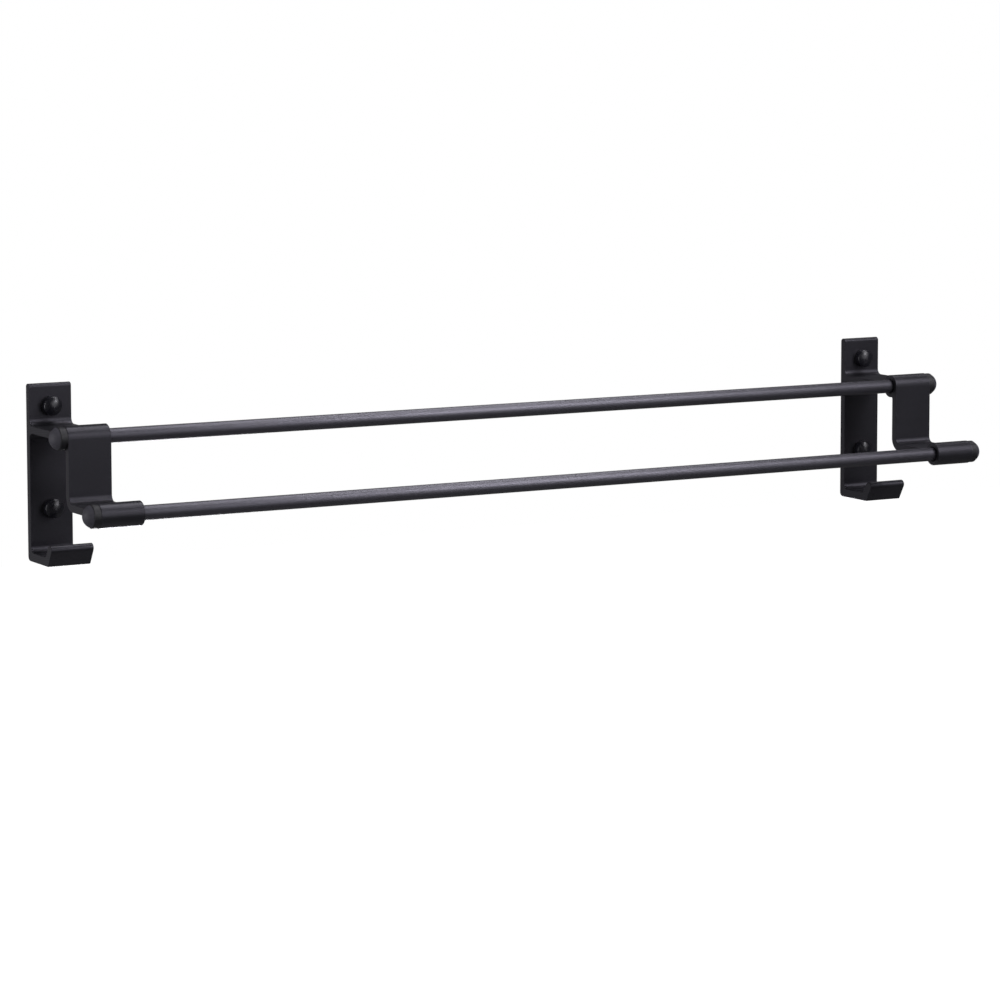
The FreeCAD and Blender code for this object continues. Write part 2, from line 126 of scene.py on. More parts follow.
def add_node(
    tree: bpy.types.NodeTree,
    kind: str,
    inputs: Mapping[str | int, Any] | None = None,
    **settings: Any,
) -> bpy.types.Node:
    """Add a shader node with its settings, and set or link its inputs.

    Args:
        tree: The node tree that gets the node.
        kind: Blender's name for the type of node.
        inputs: An input's name or number, and its value or the output that feeds it.
        **settings: The node's own properties.

    Returns:
        The new node.
    """
    node = tree.nodes.new(kind)
    for name, setting in settings.items():
        setattr(node, name, setting)
    for key, source in (inputs or {}).items():
        if isinstance(source, bpy.types.NodeSocket):
            tree.links.new(source, node.inputs[key])
        else:
            node.inputs[key].default_value = source
    return node


def mix_colours(
    tree: bpy.types.NodeTree, share: bpy.types.NodeSocket, first: Any, second: Any
) -> bpy.types.NodeSocket:
    """Mix two colours.

    Args:
        tree: The material's node tree.
        share: The share of the second colour.
        first: The first colour, in linear light, or the output that gives it.
        second: The second colour, in the same way.

    Returns:
        The mixed colour.
    """
    mix = add_node(
        tree, "ShaderNodeMix", {"Factor": share, "A": first, "B": second}, data_type="RGBA"
    )
    return mix.outputs["Result"]


def mix_values(
    tree: bpy.types.NodeTree, share: bpy.types.NodeSocket, first: Any, second: Any
) -> bpy.types.NodeSocket:
    """Mix two plain values, as mix_colours does for colours."""
    mix = add_node(tree, "ShaderNodeMix", {"Factor": share, "A": first, "B": second})
    return mix.outputs["Result"]


def calculate(
    tree: bpy.types.NodeTree, operation: str, first: Any, second: Any = None
) -> bpy.types.NodeSocket:
    """Do one sum.

    Args:
        tree: The node tree that gets the sum.
        operation: Blender's name for the operation.
        first: The first value, or the output that gives it.
        second: The second value, in the same way, where the operation has one.

    Returns:
        The result.
    """
    inputs = {0: first} if second is None else {0: first, 1: second}
    return add_node(tree, "ShaderNodeMath", inputs, operation=operation).outputs["Value"]


def map_range(
    tree: bpy.types.NodeTree,
    source: bpy.types.NodeSocket,
    limits: tuple[float, float],
    results: tuple[float, float] = (0.0, 1.0),
) -> bpy.types.NodeSocket:
    """Map the span between two values to another span, and hold it beyond them.

    Args:
        tree: The node tree that gets the node.
        source: The value to map.
        limits: The two values that it is mapped from.
        results: The two values that it is mapped to.

    Returns:
        The mapped value.
    """
    ranged = add_node(
        tree,
        "ShaderNodeMapRange",
        {
            "Value": source,
            "From Min": limits[0],
            "From Max": limits[1],
            "To Min": results[0],
            "To Max": results[1],
        },
    )
    return ranged.outputs["Result"]


def swing(
    tree: bpy.types.NodeTree, pattern: bpy.types.NodeSocket, middle: float, reach: float
) -> bpy.types.NodeSocket:
    """Let a value swing about its middle with a noise pattern.

    Args:
        tree: The material's node tree.
        pattern: The noise.
        middle: The mean value.
        reach: How far it swings each way.

    Returns:
        The swinging value.
    """
    return map_range(tree, pattern, NOISE_LIMITS, (middle - reach, middle + reach))


def noise(
    tree: bpy.types.NodeTree,
    place: bpy.types.NodeSocket,
    size_mm: float,
    detail: float = FINE_DETAIL,
    bend: float = 0.0,
) -> bpy.types.NodeSocket:
    """Add a noise pattern of a real size.

    Args:
        tree: The material's node tree.
        place: Position on the piece.
        size_mm: Size of its patches.
        detail: How many finer levels it has.
        bend: How strongly its patches are bent.

    Returns:
        The pattern.
    """
    pattern = add_node(
        tree,
        "ShaderNodeTexNoise",
        {"Vector": place, "Scale": per_metre(size_mm), "Detail": detail, "Distortion": bend},
    )
    return pattern.outputs["Fac"]


def bump(
    tree: bpy.types.NodeTree,
    height: bpy.types.NodeSocket,
    depth_mm: float,
    below: bpy.types.NodeSocket | None = None,
) -> bpy.types.NodeSocket:
    """Turn a pattern into relief.

    Args:
        tree: The material's node tree.
        height: The pattern.
        depth_mm: Depth of the relief.
        below: The normal of a relief that it lies on, if any.

    Returns:
        The normal of the relief.
    """
    inputs = {"Height": height, "Strength": 1.0, "Distance": depth_mm * MM}
    if below is not None:
        inputs["Normal"] = below
    return add_node(tree, "ShaderNodeBump", inputs).outputs["Normal"]


def feed(shader: bpy.types.Node, **sources: bpy.types.NodeSocket) -> None:
    """Link outputs to a shader's inputs.

    Args:
        shader: The shader.
        **sources: Each input's name, with _ for a space, and the output that feeds it.
    """
    for name, source in sources.items():
        shader.id_data.links.new(source, shader.inputs[name.replace("_", " ")])


def paired(stem: str) -> Iterator[str]:
    """Yield the four node names of a piece that each side has in each row."""
    for side in Side:
        for row in Row:
            yield f"{side.value}_{row.value}_{stem}"


@dataclass(frozen=True)
class Finish(ABC):
    """A real material with its surface; each kind adds its own sizes and nodes.

    Attributes:
        name: The material's name.
        dark: Its sRGB colour where it is darkest.
        light: Its sRGB colour where it is lightest.
        roughness: Its mean roughness.
    """

    name: str
    dark: str
    light: str
    roughness: float

    @abstractmethod
    def paint(self, tree: bpy.types.NodeTree, shader: bpy.types.Node) -> None:
        """Add the nodes that feed the shader.

        Args:
            tree: The material's node tree.
            shader: Its principled shader.
        """

    def build(self) -> bpy.types.Material:
        """Make the material.

        Returns:
            The finished Blender material.
        """
        material = bpy.data.materials.new(self.name)
        material.use_nodes = True
        tree = material.node_tree
        tree.nodes.clear()
        shader = add_node(tree, "ShaderNodeBsdfPrincipled")
        add_node(tree, "ShaderNodeOutputMaterial", {"Surface": shader.outputs["BSDF"]})
        self.paint(tree, shader)
        material.diffuse_color = linear(self.dark)
        return material


@dataclass(frozen=True)
class AnodisedAluminium(Finish):
    """Aluminium drawn through a die, etched matt, anodised and dyed black.

    The dyed oxide hides the bright metal. It gives the eye a deep, faintly cool black that stays
    dark face on, turns to a soft grey sheen at a glancing angle, and carries faint lines along
    the way it was drawn. A cool tint painted on its reflections stands in for the studio light's
    cool cast.

    Attributes:
        ior: Index of refraction of the oxide, higher where it is denser and better sealed.
        stretch: How far the die lines stretch reflections around the profile, from 0 to 1.
        gloss_swing: How far the roughness swings about its mean from line to line.
        sheen: The sRGB tint painted on reflections, a painted cool cast that stands in for the studio
            light's.
        edge: Its sRGB colour on crisp edges, where the oxide is thinnest.
        line_gap_mm: Spacing of the die lines, drawn coarser than the real 0.2 mm so as to show.
        line_length_mm: Length over which one die line fades out.
        line_depth_mm: Depth of the die lines.
        grain_mm: Size of the etched grain, drawn coarser than the real 0.05 mm so as to show.
        grain_depth_mm: Depth of the etched grain.
        cloud_mm: Size of the slight clouds in the dye.
        saw_gap_mm: Spacing of the saw marks on the cut ends, or 0 where no cut end shows.
    """

    ior: float
    stretch: float
    gloss_swing: float
    sheen: str
    edge: str
    line_gap_mm: float
    line_length_mm: float
    line_depth_mm: float
    grain_mm: float
    grain_depth_mm: float
    cloud_mm: float
    saw_gap_mm: float

    # Products of clouds and grain at which the dye is darkest and lightest
    TONE_LIMITS = (0.12, 0.4)
    # The axle of the saw that cut the profile to length, in metres
    BLADE_CENTRE = (0.0, -40.0 * MM, -160.0 * MM)
    # Scale at which Blender's wave texture has one wave in a metre
    ONE_WAVE_SCALE = math.pi / 10.0
    SAW_WOBBLE = 1.2
    # How squarely a face looks along the profile, from not a cut end to fully one
    CUT_END_LIMITS = (0.9, 0.95)
    EDGE_RADIUS = 0.3 * MM
    EDGE_SAMPLES = 4
    # Cosine between the true and the rounded normal, from no edge to a full one
    EDGE_LIMITS = (0.995, 0.93)
    EDGE_SHARE = 0.6

    def paint(self, tree: bpy.types.NodeTree, shader: bpy.types.Node) -> None:
        """Add the nodes for the dye, the edges, the die lines, the grain and the saw marks.

        Args:
            tree: The material's node tree.
            shader: Its principled shader.
        """
        place = add_node(tree, "ShaderNodeTexCoord").outputs["Object"]
        across = per_metre(self.line_gap_mm)
        stretched = add_node(
            tree,
            "ShaderNodeVectorMath",
            {0: place, 1: (per_metre(self.line_length_mm), across, across)},
            operation="MULTIPLY",
        )
        lines = add_node(
            tree,
            "ShaderNodeTexNoise",
            {"Vector": stretched.outputs["Vector"], "Scale": 1.0, "Detail": CLOUD_DETAIL},
        )
        grain = noise(tree, place, self.grain_mm)
        clouds = noise(tree, place, self.cloud_mm, CLOUD_DETAIL)
        marks = lines.outputs["Fac"]
        if self.saw_gap_mm > 0:
            marks = self.add_saw_marks(tree, place, marks)

        speckle = calculate(tree, "MULTIPLY", clouds, grain)
        tone = map_range(tree, speckle, self.TONE_LIMITS)
        dye = mix_colours(tree, tone, linear(self.dark), linear(self.light))
        shader.inputs["IOR"].default_value = self.ior
        # Painted light: the sheen tints the reflections cool, standing in for the studio light's cool
        # cast
        shader.inputs["Specular Tint"].default_value = linear(self.sheen)
        shader.inputs["Anisotropic"].default_value = self.stretch
        around = add_node(tree, "ShaderNodeTangent", direction_type="RADIAL", axis="X")
        line_relief = bump(tree, marks, self.line_depth_mm)
        feed(
            shader,
            Base_Color=self.lighten_edges(tree, dye),
            Roughness=swing(tree, marks, self.roughness, self.gloss_swing),
            Tangent=around.outputs["Tangent"],
            Normal=bump(tree, grain, self.grain_depth_mm, line_relief),
        )

    def add_saw_marks(
        self, tree: bpy.types.NodeTree, place: bpy.types.NodeSocket, lines: bpy.types.NodeSocket
    ) -> bpy.types.NodeSocket:
        """Put the arcs of a saw blade on the faces that look along the profile.

        Args:
            tree: The material's node tree.
            place: Position on the piece.
            lines: Height of the die lines.

        Returns:
            Height of saw marks on the cut ends and of die lines elsewhere.
        """
        from_blade = add_node(
            tree, "ShaderNodeVectorMath", {0: place, 1: self.BLADE_CENTRE}, operation="SUBTRACT"
        )
        arcs = add_node(
            tree,
            "ShaderNodeTexWave",
            {
                "Vector": from_blade.outputs["Vector"],
                "Scale": per_metre(self.saw_gap_mm) * self.ONE_WAVE_SCALE,
                "Distortion": self.SAW_WOBBLE,
                "Detail": FINE_DETAIL,
            },
            wave_type="RINGS",
            rings_direction="X",
        )
        facing = add_node(tree, "ShaderNodeNewGeometry")
        parts = add_node(tree, "ShaderNodeSeparateXYZ", {0: facing.outputs["True Normal"]})
        endwise = calculate(tree, "ABSOLUTE", parts.outputs["X"])
        on_end = map_range(tree, endwise, self.CUT_END_LIMITS)
        return mix_values(tree, on_end, lines, arcs.outputs["Fac"])

    def lighten_edges(
        self, tree: bpy.types.NodeTree, dye: bpy.types.NodeSocket
    ) -> bpy.types.NodeSocket:
        """Lighten the crisp edges a little.

        Args:
            tree: The material's node tree.
            dye: The colour away from the edges.

        Returns:
            The colour with its edges.
        """
        rounded = add_node(
            tree, "ShaderNodeBevel", {"Radius": self.EDGE_RADIUS}, samples=self.EDGE_SAMPLES
        )
        facing = add_node(tree, "ShaderNodeNewGeometry")
        match = add_node(
            tree,
            "ShaderNodeVectorMath",
            {0: rounded.outputs["Normal"], 1: facing.outputs["Normal"]},
            operation="DOT_PRODUCT",
        )
        on_edge = map_range(
            tree, match.outputs["Value"], self.EDGE_LIMITS, (0.0, self.EDGE_SHARE)
        )
        return mix_colours(tree, on_edge, dye, linear(self.edge))


@dataclass(frozen=True)
class MouldedPlastic(Finish):
    """Black plastic, injection moulded in a spark-eroded tool.

    The tool leaves a fine, even orange-peel grain, so the eye sees a soft highlight with a broken
    edge on a body colour that hardly changes.

    Attributes:
        ior: Index of refraction of the plastic.
        grain_mm: Size of the moulded grain, drawn coarser than the real 0.1 mm so as to show.
        grain_depth_mm: Depth of the moulded grain.
        flow_mm: Size of the faint flow marks in the colour.
    """

    ior: float
    grain_mm: float
    grain_depth_mm: float
    flow_mm: float

    GLOSS_SWING = 0.06
    FLOW_BEND = 0.6

    def paint(self, tree: bpy.types.NodeTree, shader: bpy.types.Node) -> None:
        """Add the nodes for the body colour, the flow marks and the moulded grain.

        Args:
            tree: The material's node tree.
            shader: Its principled shader.
        """
        place = add_node(tree, "ShaderNodeTexCoord").outputs["Object"]
        flow = noise(tree, place, self.flow_mm, CLOUD_DETAIL, self.FLOW_BEND)
        grain = noise(tree, place, self.grain_mm)
        shader.inputs["IOR"].default_value = self.ior
        feed(
            shader,
            Base_Color=mix_colours(tree, flow, linear(self.dark), linear(self.light)),
            Roughness=swing(tree, grain, self.roughness, self.GLOSS_SWING),
            Normal=bump(tree, grain, self.grain_depth_mm),
        )


@dataclass(frozen=True)
class PaintedLitFacePlastic(MouldedPlastic):
    """Black plastic moulded with a dark rim and a coarser, rougher outer face painted paler as
    painted light.

    The rim keeps the plastic's own colour, as dark as the metal beside it. The outer face is painted
    a paler grey that stands in for the side lamps' light on the cap ends, so the eye sees an even
    dark grey disc with a crisp edge.

    Attributes:
        painted_lit_face_dark: The face's sRGB colour where it is darkest, painted paler than the rim
            as painted light.
        painted_lit_face_light: The face's sRGB colour where it is lightest, painted light as well.
        face_roughness: The face's roughness.
        face_start_mm: Distance from the rack's middle at which the face begins.
    """

    painted_lit_face_dark: str
    painted_lit_face_light: str
    face_roughness: float
    face_start_mm: float

    def paint(self, tree: bpy.types.NodeTree, shader: bpy.types.Node) -> None:
        """Add the nodes for the rim, and lay the face's painted light over them.

        Args:
            tree: The material's node tree.
            shader: Its principled shader.
        """
        super().paint(tree, shader)
        place = add_node(tree, "ShaderNodeTexCoord").outputs["Object"]
        parts = add_node(tree, "ShaderNodeSeparateXYZ", {0: place})
        outward = calculate(tree, "ABSOLUTE", parts.outputs["X"])
        # The outer face past the rim, which gets the painted light
        on_painted_face = calculate(tree, "GREATER_THAN", outward, self.face_start_mm * MM)
        rim_colour = shader.inputs["Base Color"].links[0].from_socket
        rim_gloss = shader.inputs["Roughness"].links[0].from_socket
        speckle = noise(tree, place, self.grain_mm)
        # Painted light: a paler grey on the outer face stands in for the side lamps' light on the cap
        # ends; the rim keeps the dark body colour
        painted_lit_face_colour = mix_colours(
            tree, speckle, linear(self.painted_lit_face_dark), linear(self.painted_lit_face_light)
        )
        feed(
            shader,
            Base_Color=mix_colours(tree, on_painted_face, rim_colour, painted_lit_face_colour),
            Roughness=mix_values(tree, on_painted_face, rim_gloss, self.face_roughness),
        )


@dataclass(frozen=True)
class PlatedSteel(Finish):
    """Steel, rolled or turned and then plated or blackened in a bath.

    The bath leaves small crystals and a patchy film, so the eye sees a metal sheen whose tint
    shifts from spot to spot.

    Attributes:
        patch_mm: Size of the patches in the film.
        crystal_mm: Size of the crystals, drawn coarser than the real 0.02 mm so as to show.
        crystal_depth_mm: Depth of the crystals.
    """

    patch_mm: float
    crystal_mm: float
    crystal_depth_mm: float

    GLOSS_SWING = 0.08

    def paint(self, tree: bpy.types.NodeTree, shader: bpy.types.Node) -> None:
        """Add the nodes for the film's patches and the crystals.

        Args:
            tree: The material's node tree.
            shader: Its principled shader.
        """
        place = add_node(tree, "ShaderNodeTexCoord").outputs["Object"]
        film = noise(tree, place, self.patch_mm, FILM_DETAIL)
        crystals = add_node(
            tree, "ShaderNodeTexVoronoi", {"Vector": place, "Scale": per_metre(self.crystal_mm)}
        )
        shader.inputs["Metallic"].default_value = 1.0
        feed(
            shader,
            Base_Color=mix_colours(tree, film, linear(self.dark), linear(self.light)),
            Roughness=swing(tree, film, self.roughness, self.GLOSS_SWING),
            Normal=bump(tree, crystals.outputs["Distance"], self.crystal_depth_mm),
        )


# Each of the record's material slots and the finish that it gets
FINISHES: dict[str, Finish] = {
    "bracket_black": AnodisedAluminium(
        name="anodised_aluminium_extruded_black",
        dark="#1b1b1e",
        light="#222225",
        roughness=0.38,
        ior=1.48,
        stretch=0.0,
        gloss_swing=0.04,
        sheen="#ebe8f6",
        edge="#3a3a40",
        line_gap_mm=0.9,
        line_length_mm=60.0,
        line_depth_mm=0.004,
        grain_mm=0.7,
        grain_depth_mm=0.006,
        cloud_mm=22.0,
        saw_gap_mm=1.3,
    ),
    "bar_black": AnodisedAluminium(
        name="anodised_aluminium_drawn_tube_black",
        dark="#1c1c1f",
        light="#232327",
        roughness=0.36,
        ior=1.74,
        stretch=0.8,
        gloss_swing=0.015,
        sheen="#ebe8f6",
        edge="#3a3a40",
        line_gap_mm=0.8,
        line_length_mm=120.0,
        line_depth_mm=0.0008,
        grain_mm=0.6,
        grain_depth_mm=0.0008,
        cloud_mm=30.0,
        saw_gap_mm=0.0,
    ),
    "cap_plastic": PaintedLitFacePlastic(
        name="abs_moulded_semi_gloss_black_painted_lit_face",
        dark="#0f0f12",
        light="#15151a",
        roughness=0.55,
        ior=1.53,
        grain_mm=0.6,
        grain_depth_mm=0.006,
        flow_mm=9.0,
        # Painted light: the face colours are paler than the rim, standing in for the side lamps'
        # light on the cap ends
        painted_lit_face_dark="#3b3a41",
        painted_lit_face_light="#4b4a52",
        face_roughness=0.6,
        face_start_mm=RAIL_SPAN_MM / 2 + CAP_RIM_MM,
    ),
    "cover_plastic": MouldedPlastic(
        name="abs_moulded_satin_black",
        dark="#15151a",
        light="#1b1b22",
        roughness=0.3,
        ior=1.53,
        grain_mm=0.5,
        grain_depth_mm=0.004,
        flow_mm=6.0,
    ),
    "washer_plastic": MouldedPlastic(
        name="nylon_moulded_matt_black",
        dark="#1a1a1b",
        light="#222224",
        roughness=0.6,
        ior=1.53,
        grain_mm=0.4,
        grain_depth_mm=0.008,
        flow_mm=5.0,
    ),
    "screw_steel": PlatedSteel(
        name="steel_rolled_zinc_plated",
        dark="#9da2aa",
        light="#c4c8cc",
        roughness=0.34,
        patch_mm=2.5,
        crystal_mm=0.3,
        crystal_depth_mm=0.004,
    ),
    "set_screw_steel": PlatedSteel(
        name="steel_turned_black_oxide",
        dark="#1e1f21",
        light="#303236",
        roughness=0.42,
        patch_mm=1.5,
        crystal_mm=0.25,
        crystal_depth_mm=0.003,
    ),
}


def dress(node: str, material: bpy.types.Material) -> None:
    """Give a CAD node one material all over.

    Args:
        node: The node's name.
        material: Its finish.
    """
    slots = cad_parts[node].data.materials
    slots.clear()
    slots.append(material)
    LOG.info("%s: %s", node, material.name)


@dataclass
class EndBrackets:
    """The two cut lengths of the extruded profile, with the set screws in their bosses."""

    aluminium: bpy.types.Material
    set_screw_steel: bpy.types.Material

    def build(self) -> None:
        """Dress both brackets and their set screws."""
        for side in Side:
            dress(f"{side.value}_bracket", self.aluminium)
        for node in paired("set_screw"):
            dress(node, self.set_screw_steel)


@dataclass
class CappedBars:
    """The two tubes and the plugs in their ends."""

    aluminium: bpy.types.Material
    plastic: bpy.types.Material

    def build(self) -> None:
        """Dress both bars and their four caps."""
        for row in Row:
            dress(f"{row.value}_bar", self.aluminium)
        for node in paired("end_cap"):
            dress(node, self.plastic)


@dataclass
class CoveredWallScrews:
    """The four wall screws with their collared washers and domed covers.

    Attributes:
        steel: Finish of the screws.
        washer_plastic: Finish of the washers.
        cover_plastic: Finish of the covers.
        seat: Where the head bears on its washer, in front of the wall plane.
        head_diameter: Diameter of the pan head.
        head_rim: Height of the head's upright rim.
        head_height: Height of the head at its middle.
        neck_diameter: Diameter of the plain neck through the plate.
        crest_diameter: Diameter over the thread.
        root_diameter: Diameter between the turns of the thread.
        pitch: Distance from turn to turn.
        ridge_share: Half width of a turn at its foot, as a share of the pitch.
        reach: Depth of the point in the wall.
        tip: Length of the tapered point.
        recess_length: Length of each arm pair of the cross recess.
        recess_width: Width of an arm of the recess.
        recess_depth: Depth of the recess.
    """

    steel: bpy.types.Material
    washer_plastic: bpy.types.Material
    cover_plastic: bpy.types.Material
    seat: float = 5.4 * MM
    head_diameter: float = 7.2 * MM
    head_rim: float = 1.0 * MM
    head_height: float = 2.2 * MM
    neck_diameter: float = 3.0 * MM
    crest_diameter: float = 4.0 * MM
    root_diameter: float = 2.7 * MM
    pitch: float = 1.8 * MM
    ridge_share: float = 0.24
    reach: float = 18.0 * MM
    tip: float = 4.0 * MM
    recess_length: float = 4.0 * MM
    recess_width: float = 0.9 * MM
    recess_depth: float = 1.4 * MM

    SEGMENTS = 40
    DOME_RINGS = 8
    RINGS_PER_TURN = 14
    SMOOTH_ANGLE = math.radians(40.0)

    def build(self) -> None:
        """Make the screws and dress them, the washers and the covers."""
        mesh = self.screw_mesh()
        for node in paired("wall_screw"):
            low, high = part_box(node)
            middle = (low + high) / 2
            screw = bpy.data.objects.new(f"{node}_threaded", mesh)
            screw.location = (middle.x, 0.0, middle.z)
            bpy.context.scene.collection.objects.link(screw)
            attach(screw, MAIN_BODY)
            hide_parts(node)
            LOG.info("%s: %s", screw.name, self.steel.name)
        for node in paired("cover_washer"):
            dress(node, self.washer_plastic)
        for node in paired("screw_cover"):
            dress(node, self.cover_plastic)

    def thread_radius(self, depth: float, angle: float) -> float:
        """Return the radius of the right-hand thread at a depth in the wall and an angle.

        Args:
            depth: Distance behind the wall plane.
            angle: Angle about the screw's axis, in radians.

        Returns:
            The radius, which narrows to nothing at the point.
        """
        phase = (depth / self.pitch + angle / math.tau) % 1.0
        ridge = max(0.0, 1.0 - abs(phase - 0.5) / self.ridge_share)
        run_in = min(1.0, depth / self.pitch)
        taper = min(1.0, (self.reach - depth) / self.tip)
        root = self.root_diameter / 2
        height = self.crest_diameter / 2 - root
        return taper * (root + height * ridge * run_in)

    def rings(self) -> list[tuple[float, list[float]]]:
        """List the rings of the screw from the top of its head to just before its point.

        Returns:
            Each ring's place along the axis, into the wall, and its radius at each segment.
        """
        head_radius = self.head_diameter / 2
        crown = self.head_height - self.head_rim
        outline = []
        for number in range(1, self.DOME_RINGS + 1):
            share = number / self.DOME_RINGS
            rise = self.head_rim + crown * (1 - share**2)
            outline.append((-self.seat - rise, head_radius * share))
        outline.append((-self.seat, head_radius))
        outline.append((-self.seat, self.neck_diameter / 2))
        outline.append((-self.pitch / self.RINGS_PER_TURN, self.neck_diameter / 2))
        rings = [(along, [radius] * self.SEGMENTS) for along, radius in outline]
        step = self.pitch / self.RINGS_PER_TURN
        for number in range(int(self.reach / step)):
            depth = number * step
            angles = [math.tau * segment / self.SEGMENTS for segment in range(self.SEGMENTS)]
            rings.append((depth, [self.thread_radius(depth, angle) for angle in angles]))
        return rings

    def screw_mesh(self) -> bpy.types.Mesh:
        """Make the mesh that all four screws share.

        Returns:
            A closed mesh with its axis along Y and the wall plane at the origin.
        """
        shape = bmesh.new()
        top = shape.verts.new((0.0, -self.seat - self.head_height, 0.0))
        point = shape.verts.new((0.0, self.reach, 0.0))
        loops = []
        for along, radii in self.rings():
            loop = []
            for segment, radius in enumerate(radii):
                angle = math.tau * segment / self.SEGMENTS
                across, up = radius * math.cos(angle), radius * math.sin(angle)
                loop.append(shape.verts.new((across, along, up)))
            loops.append(loop)
        for segment in range(self.SEGMENTS):
            following = (segment + 1) % self.SEGMENTS
            shape.faces.new((top, loops[0][segment], loops[0][following]))
            shape.faces.new((point, loops[-1][following], loops[-1][segment]))
            for near, far in zip(loops, loops[1:]):
                shape.faces.new((near[segment], far[segment], far[following], near[following]))
        bmesh.ops.recalc_face_normals(shape, faces=shape.faces)
        plain = bpy.data.meshes.new("wall_screw_plain")
        shape.to_mesh(plain)
        shape.free()
        mesh = self.cut_recess(plain)
        mesh.name = "wall_screw_threaded"
        mesh.materials.clear()
        mesh.materials.append(self.steel)
        mesh.polygons.foreach_set("use_smooth", [True] * len(mesh.polygons))
        mesh.set_sharp_from_angle(angle=self.SMOOTH_ANGLE)
        return mesh

    def cut_recess(self, plain: bpy.types.Mesh) -> bpy.types.Mesh:
        """Cut the cross recess into the head of a screw.

        Args:
            plain: The screw with a smooth head.

        Returns:
            A new mesh with the recess.
        """
        long_half = self.recess_length / 2
        short_half = self.recess_width / 2
        quarter = [(long_half, short_half), (short_half, short_half), (short_half, long_half)]
        outline = list(quarter)
        outline += [(-across, up) for across, up in reversed(quarter)]
        outline += [(-across, -up) for across, up in quarter]
        outline += [(across, -up) for across, up in reversed(quarter)]
        head_top = -self.seat - self.head_height
        cross = bmesh.new()
        base = cross.faces.new(
            [cross.verts.new((across, head_top + self.recess_depth, up)) for across, up in outline]
        )
        grown = bmesh.ops.extrude_face_region(cross, geom=[base])
        raised = [item for item in grown["geom"] if isinstance(item, bmesh.types.BMVert)]
        bmesh.ops.translate(cross, verts=raised, vec=(0.0, -2 * self.recess_depth, 0.0))
        bmesh.ops.recalc_face_normals(cross, faces=cross.faces)
        cutter_mesh = bpy.data.meshes.new("cross_recess_cutter")
        cross.to_mesh(cutter_mesh)
        cross.free()

        blank = bpy.data.objects.new("wall_screw_blank", plain)
        cutter = bpy.data.objects.new("cross_recess_cutter", cutter_mesh)
        for thing in (blank, cutter):
            bpy.context.scene.collection.objects.link(thing)
        cut = blank.modifiers.new("cross_recess", "BOOLEAN")
        cut.operation = "DIFFERENCE"
        cut.solver = "EXACT"
        cut.object = cutter
        graph = bpy.context.evaluated_depsgraph_get()
        mesh = bpy.data.meshes.new_from_object(blank.evaluated_get(graph))
        for thing in (blank, cutter):
            bpy.data.objects.remove(thing)
        for spare in (plain, cutter_mesh):
            bpy.data.meshes.remove(spare)
        return mesh


@dataclass(frozen=True)
class Softbox:
    """A soft lamp that looks at the middle of the rack.

    Attributes:
        name: The lamp's name.
        place: Its position, in metres.
        size: Its width and height, in metres.
        watts: Its power.
        spread: Angle of the cone of light that its grid lets out.
        colour: Its sRGB colour, as faintly cool as the light in the photograph.
    """

    name: str
    place: tuple[float, float, float]
    size: tuple[float, float]
    watts: float
    spread: float = math.radians(80.0)
    colour: str = "#faf8ff"

    def build(self, target: Vector) -> None:
        """Add the lamp.

        Args:
            target: The point that it looks at.
        """
        lamp = bpy.data.lights.new(self.name, "AREA")
        lamp.shape = "RECTANGLE"
        lamp.size, lamp.size_y = self.size
        lamp.energy = self.watts
        lamp.color = linear(self.colour)[:3]
        lamp.spread = self.spread
        thing = bpy.data.objects.new(self.name, lamp)
        thing.location = self.place
        thing.rotation_euler = (target - Vector(self.place)).to_track_quat("-Z", "Y").to_euler()
        thing.visible_camera = False
        bpy.context.scene.collection.objects.link(thing)


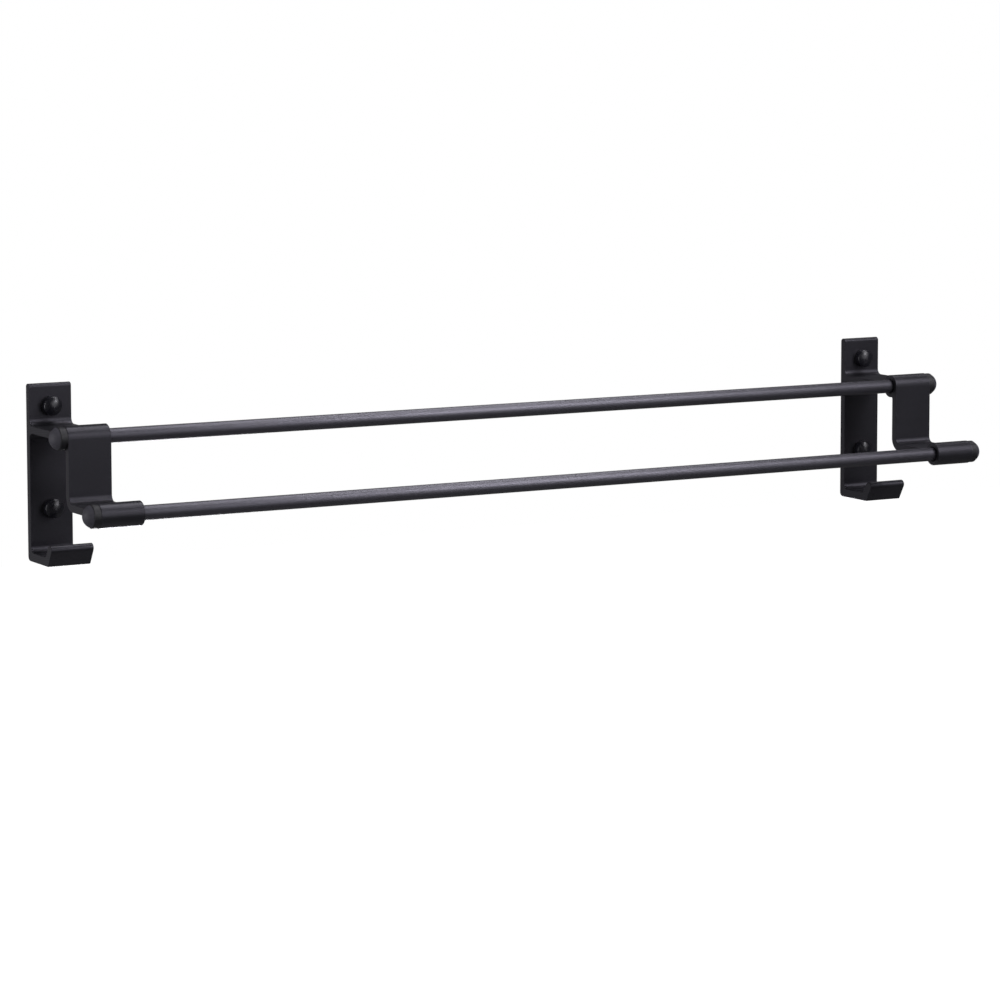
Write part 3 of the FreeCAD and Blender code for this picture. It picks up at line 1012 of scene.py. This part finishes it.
@dataclass
class Studio:
    """The plain pale floor, the white surroundings, the lamps and the photograph's camera.

    Attributes:
        camera_place: The camera's position, in metres.
        camera_turn: The camera's pitch from straight down, roll and yaw, in degrees.
        lens_mm: Focal length on the sensor below.
        lens_drop: Shift of the lens, which keeps uprights upright, as a share of the picture.
        sensor_mm: Width of the sensor.
        view_limit: Distance up to which the camera sees, in metres.
        floor_drop: How far the floor lies below the origin, at the usual height of a towel rail.
        floor_size: Side of the square floor.
        floor_colour: The floor's sRGB colour.
        floor_lift: Light that the camera sees added to the floor, so that it meets the white.
        ambient: Strength of the surroundings as a light.
        gloss: Strength of the surroundings in reflections.
        softboxes: The lamps.
    """

    camera_place: tuple[float, float, float] = (-1.1027, -2.0014, 0.2630)
    camera_turn: tuple[float, float, float] = (84.159, 0.099, -29.223)
    lens_mm: float = 135.91
    lens_drop: float = 0.12
    sensor_mm: float = 36.0
    view_limit: float = 50.0
    floor_drop: float = 1.2
    floor_size: float = 14.0
    floor_colour: str = "#cfcfcf"
    floor_lift: float = 1.0
    ambient: float = 0.14
    gloss: float = 0.04
    softboxes: tuple[Softbox, ...] = (
        Softbox("key_softbox", (0.70, -1.10, 0.84), (0.3, 0.45), 1.15),
        Softbox("strip_softbox", (0.67, -0.55, 1.25), (0.25, 2.4), 2.5),
        Softbox("top_softbox", (0.64, 0.35, 1.35), (0.5, 0.8), 1.3),
        Softbox("front_panel", (0.24, -0.90, 0.26), (1.0, 0.7), 0.8),
        Softbox("fill_panel", (-1.75, -0.45, 0.30), (2.2, 2.2), 2.0),
        Softbox("left_panel", (-1.45, 1.40, 0.0), (1.6, 1.6), 0.65),
        Softbox("back_panel", (0.70, 1.90, 0.35), (0.7, 0.5), 0.08),
        Softbox("low_back_panel", (0.50, 1.70, -0.75), (0.4, 0.8), 3.0),
        Softbox("left_strip", (-1.50, 0.35, 0.10), (0.2, 1.0), 1.0),
    )

    def build(self) -> None:
        """Set up the whole studio."""
        scene = bpy.context.scene
        scene.view_settings.view_transform = "Standard"
        self.build_world(scene)
        self.build_floor(scene)
        low, high = CAD_BOX
        for softbox in self.softboxes:
            softbox.build((low + high) / 2)
        self.build_camera(scene)

    def build_world(self, scene: bpy.types.Scene) -> None:
        """Make surroundings that are white to the eye, and dimmer as a light and in reflections.

        Args:
            scene: The scene that gets the world.
        """
        world = bpy.data.worlds.new("white_studio")
        world.use_nodes = True
        tree = world.node_tree
        tree.nodes.clear()
        path = add_node(tree, "ShaderNodeLightPath")
        reflected = map_range(
            tree, path.outputs["Is Glossy Ray"], (0.0, 1.0), (self.ambient, self.gloss)
        )
        straight = calculate(
            tree, "MAXIMUM", path.outputs["Is Camera Ray"], path.outputs["Is Transmission Ray"]
        )
        sky = add_node(
            tree,
            "ShaderNodeBackground",
            {
                "Color": linear("#ffffff"),
                "Strength": calculate(tree, "MAXIMUM", straight, reflected),
            },
        )
        add_node(tree, "ShaderNodeOutputWorld", {"Surface": sky.outputs["Background"]})
        scene.world = world

    def build_floor(self, scene: bpy.types.Scene) -> None:
        """Lay the pale floor, which keeps the rack's shadow.

        Args:
            scene: The scene that gets the floor.
        """
        half = self.floor_size / 2
        corners = [(-half, -half), (half, -half), (half, half), (-half, half)]
        mesh = bpy.data.meshes.new("studio_floor")
        mesh.from_pydata([(x, y, -self.floor_drop) for x, y in corners], [], [(0, 1, 2, 3)])
        floor = bpy.data.objects.new("studio_floor", mesh)
        scene.collection.objects.link(floor)

        material = bpy.data.materials.new("studio_floor_matt_paint")
        material.use_nodes = True
        tree = material.node_tree
        tree.nodes.clear()
        paint = add_node(tree, "ShaderNodeBsdfDiffuse", {"Color": linear(self.floor_colour)})
        path = add_node(tree, "ShaderNodeLightPath")
        lift = calculate(tree, "MULTIPLY", path.outputs["Is Camera Ray"], self.floor_lift)
        glow = add_node(tree, "ShaderNodeEmission", {"Strength": lift})
        both = add_node(
            tree, "ShaderNodeAddShader", {0: paint.outputs["BSDF"], 1: glow.outputs["Emission"]}
        )
        add_node(tree, "ShaderNodeOutputMaterial", {"Surface": both.outputs["Shader"]})
        mesh.materials.append(material)

    def build_camera(self, scene: bpy.types.Scene) -> None:
        """Put the camera where the photograph was taken from.

        Args:
            scene: The scene that gets the camera.
        """
        data = bpy.data.cameras.new("photo_camera")
        data.sensor_width = self.sensor_mm
        data.lens = self.lens_mm
        data.shift_y = -self.lens_drop
        data.clip_end = self.view_limit
        camera = bpy.data.objects.new("photo_camera", data)
        camera.location = self.camera_place
        camera.rotation_euler = Euler([math.radians(angle) for angle in self.camera_turn])
        scene.collection.objects.link(camera)
        scene.camera = camera


def main() -> None:
    """Build the finishes, dress each sub-assembly and set up the studio."""
    logging.basicConfig(level=logging.INFO, format="%(name)s: %(message)s")
    materials = {slot: finish.build() for slot, finish in FINISHES.items()}
    EndBrackets(materials["bracket_black"], materials["set_screw_steel"]).build()
    CappedBars(materials["bar_black"], materials["cap_plastic"]).build()
    CoveredWallScrews(
        materials["screw_steel"], materials["washer_plastic"], materials["cover_plastic"]
    ).build()
    Studio().build()


if __name__ == "__main__":
    main()
